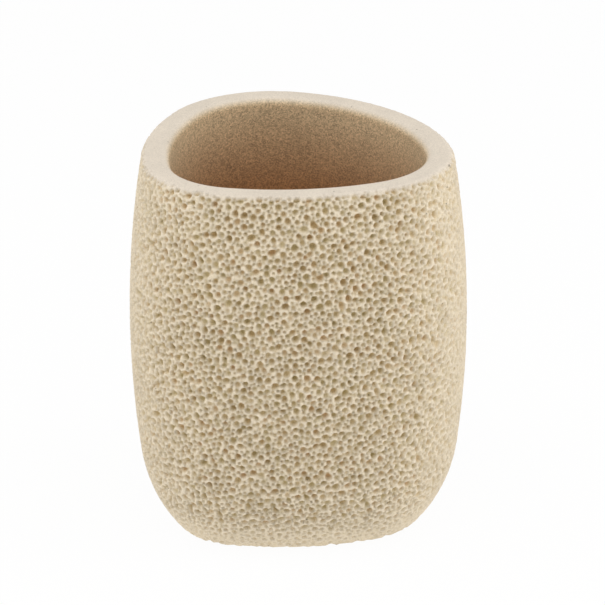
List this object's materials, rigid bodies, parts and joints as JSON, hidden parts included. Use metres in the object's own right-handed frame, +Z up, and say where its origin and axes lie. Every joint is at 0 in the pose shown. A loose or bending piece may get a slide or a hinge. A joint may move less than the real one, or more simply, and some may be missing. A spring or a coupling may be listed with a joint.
{
  "type": "bathroom tumbler",
  "caption": "Free-standing bathroom tumbler: thick cast resin cup of rounded-triangle plan with barrel sides, pitted outside, smooth rim and foam pads under its base.",
  "frame": {"origin": "on the table, under the middle of the cup's box, at the undersides of the pads", "axes": "+Z up through the mouth, +Y towards the flatter back of the rounded triangle, its apex towards -Y, +X to the right"},
  "size_m": [0.091, 0.0874, 0.1017],
  "materials": {
    "cast_resin": "matte",
    "foam_pad": "matte",
    "adhesive": "satin"
  },
  "bodies": {
    "root": {"tumbler_body": "cast_resin", "foam_pad_left": "foam_pad", "foam_pad_right": "foam_pad", "foam_pad_front": "foam_pad", "adhesive_disc_left": "adhesive", "adhesive_disc_right": "adhesive", "adhesive_disc_front": "adhesive"}
  },
  "joints": []
}
